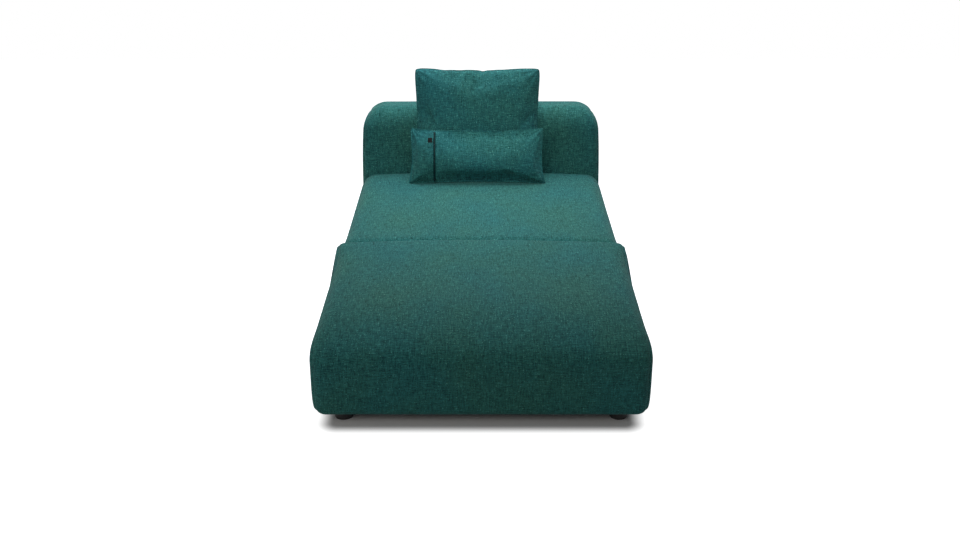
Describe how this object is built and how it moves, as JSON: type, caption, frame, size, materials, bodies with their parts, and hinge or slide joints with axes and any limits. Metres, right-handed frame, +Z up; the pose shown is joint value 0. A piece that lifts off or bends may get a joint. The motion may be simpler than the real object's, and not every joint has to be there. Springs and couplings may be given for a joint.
{
  "type": "upholstered lounger",
  "caption": "Deep armless upholstered lounger with a low backrest, a hooked-on pouf of the same width, a loose head cushion and a loose zipped lumbar cushion.",
  "frame": {"origin": "centre of the footprint, on the floor", "axes": "+Y from the foot end to the head end, +X to the right seen from the foot end, +Z up"},
  "size_m": [1.12, 1.932, 0.9078],
  "materials": {
    "upholstery_fabric": "melange weave, matte",
    "cushion_fabric": "melange weave, matte",
    "foam": "open cell foam, matte",
    "fibre": "loose fibre, matte",
    "rail_wood": "planed pine, unfinished",
    "block_wood": "plywood, unfinished",
    "board": "pressed fibreboard",
    "spring_steel": "drawn wire, oiled",
    "clip_steel": "coated black",
    "zinc_steel": "zinc plated",
    "bracket_steel": "powder coated grey",
    "webbing": "elastic weave, matte",
    "dust_cloth": "spun cloth, matte",
    "foot_plastic": "moulded black, satin",
    "zip_tape": "woven tape and coil, matte",
    "zip_metal": "black enamel",
    "label_tape": "woven tape, matte"
  },
  "bodies": {
    "chair": {"seat_cover": "upholstery_fabric", "seat_foam": "foam", "seat_side_rails": "rail_wood", "seat_front_rail": "rail_wood", "seat_rear_rail": "rail_wood", "seat_corner_blocks": "block_wood", "seat_springs": "spring_steel", "spring_clips": "clip_steel", "backrest_cover": "upholstery_fabric", "backrest_foam": "foam", "backrest_side_panels": "block_wood", "backrest_lower_rails": "rail_wood", "backrest_cross_rails": "rail_wood", "backrest_webbing": "webbing", "backrest_board": "board", "backrest_corner_blocks": "block_wood", "frame_bolts": "zinc_steel", "frame_nuts": "zinc_steel", "chair_dust_cover": "dust_cloth", "chair_feet": "foot_plastic", "chair_foot_bolts": "zinc_steel", "chair_tee_nuts": "zinc_steel", "connector_catches": "bracket_steel", "catch_screws": "zinc_steel"},
    "pouf": {"pouf_cover": "upholstery_fabric", "pouf_foam": "foam", "pouf_side_rails": "rail_wood", "pouf_end_rails": "rail_wood", "pouf_corner_blocks": "block_wood", "pouf_long_webbing": "webbing", "pouf_cross_webbing": "webbing", "pouf_dust_cover": "dust_cloth", "pouf_feet": "foot_plastic", "pouf_foot_bolts": "zinc_steel", "pouf_tee_nuts": "zinc_steel", "connector_hooks": "bracket_steel", "hook_screws": "zinc_steel"},
    "head_cushion": {"head_cushion_cover": "cushion_fabric", "head_cushion_filling": "fibre"},
    "lumbar_cushion": {"lumbar_cover": "cushion_fabric", "lumbar_filling": "fibre", "lumbar_label": "label_tape", "zip_chain": "zip_tape"},
    "zip_slider": {"zip_slider": "zip_metal"},
    "zip_pull": {"zip_pull": "zip_metal"}
  },
  "joints": [
    {"name": "pouf_lift", "type": "slide", "parent": "chair", "child": "pouf", "axis": [0, 0, 1], "range_m": [0, 0.08]},
    {"name": "head_cushion_lift", "type": "slide", "parent": "chair", "child": "head_cushion", "axis": [0, 0.1219, 0.9925], "range_m": [0, 0.35]},
    {"name": "lumbar_cushion_lift", "type": "slide", "parent": "chair", "child": "lumbar_cushion", "axis": [0, -0.5, 0.866], "range_m": [0, 0.4]},
    {"name": "zip_travel", "type": "hinge", "parent": "lumbar_cushion", "child": "zip_slider", "pos_m": [-0.21, 0.72175, 0.5078], "axis": [-1, 0, 0], "range_deg": [0, 73]},
    {"name": "pull_swing", "type": "hinge", "parent": "zip_slider", "child": "zip_pull", "pos_m": [-0.21, 0.56276, 0.44208], "axis": [-1, 0, 0], "range_deg": [-20, 130]}
  ]
}
